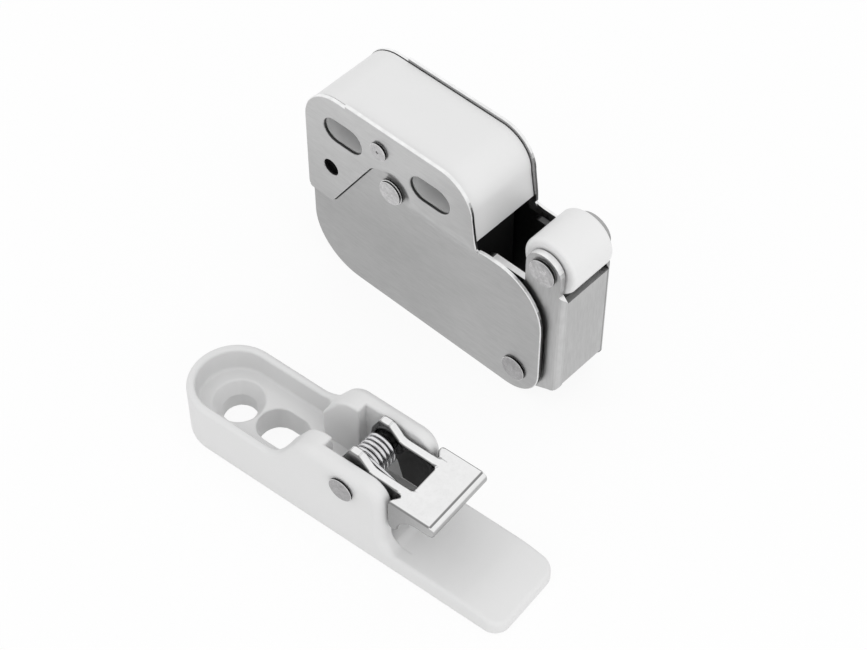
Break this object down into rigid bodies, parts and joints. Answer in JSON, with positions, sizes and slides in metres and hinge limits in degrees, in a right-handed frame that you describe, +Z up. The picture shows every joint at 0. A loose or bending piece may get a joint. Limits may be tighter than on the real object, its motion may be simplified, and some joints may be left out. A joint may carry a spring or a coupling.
{
  "type": "touch latch",
  "caption": "Push-to-open touch latch: a steel-plated body with a sprung roller arm, and a white plastic strike with a sprung metal hook lever.",
  "frame": {"origin": "bottom centre of the bounding box of the two halves as they lie side by side on a table", "axes": "+X from the closed end of the latch body towards its roller, +Y from the strike towards the latch body, +Z up"},
  "size_m": [0.0624, 0.0474, 0.0329],
  "materials": {
    "plate_steel": "satin",
    "rivet_steel": "satin",
    "spring_steel": "drawn",
    "white_plastic": "satin",
    "black_plastic": "matt",
    "cast_chrome": "polished"
  },
  "bodies": {
    "latch_body": {"front_mount_plate": "plate_steel", "rear_mount_plate": "plate_steel", "front_side_plate": "plate_steel", "rear_side_plate": "plate_steel", "top_cover": "white_plastic", "cam_block": "black_plastic", "main_rivet": "rivet_steel", "cover_rivet": "rivet_steel", "arm_pivot_pin": "rivet_steel", "pivot_sleeve": "black_plastic", "eject_spring": "spring_steel", "follower_leaf": "spring_steel"},
    "arm": {"swing_arm": "plate_steel", "roller_pin": "rivet_steel"},
    "roller": {"roller": "white_plastic"},
    "follower": {"follower_wire": "spring_steel"},
    "strike_body": {"strike_base": "white_plastic", "lever_pin": "rivet_steel", "lever_spring": "spring_steel"},
    "lever": {"hook_lever": "cast_chrome"}
  },
  "joints": [
    {"name": "arm_swing", "type": "hinge", "parent": "latch_body", "child": "arm", "pos_m": [0.0064, 0.01741, 0.0042], "axis": [0, 1, 0], "range_deg": [-5, 35], "deforming": ["eject_spring"]},
    {"name": "roller_spin", "type": "hinge", "parent": "arm", "child": "roller", "pos_m": [0.00965, 0.01741, 0.0251], "axis": [0, 1, 0], "continuous": true},
    {"name": "follower_swing", "type": "hinge", "parent": "arm", "child": "follower", "pos_m": [0.0018, 0.01741, 0.012], "axis": [0, 1, 0], "range_deg": [-40, 10]},
    {"name": "strike_slide", "type": "slide", "parent": "latch_body", "child": "strike_body", "axis": [1, 0, 0], "range_m": [0, 0.035]},
    {"name": "lever_swing", "type": "hinge", "parent": "strike_body", "child": "lever", "pos_m": [0.00655, -0.01532, 0.0112], "axis": [0.0854, -0.9963, 0], "range_deg": [0, 35], "stiffness_Nm_per_rad": 0.02, "springref_deg": -20.05, "deforming": ["lever_spring"]}
  ],
  "couplings": [
    {"joint": "follower_swing", "follows": "arm_swing", "ratio": -1}
  ]
}
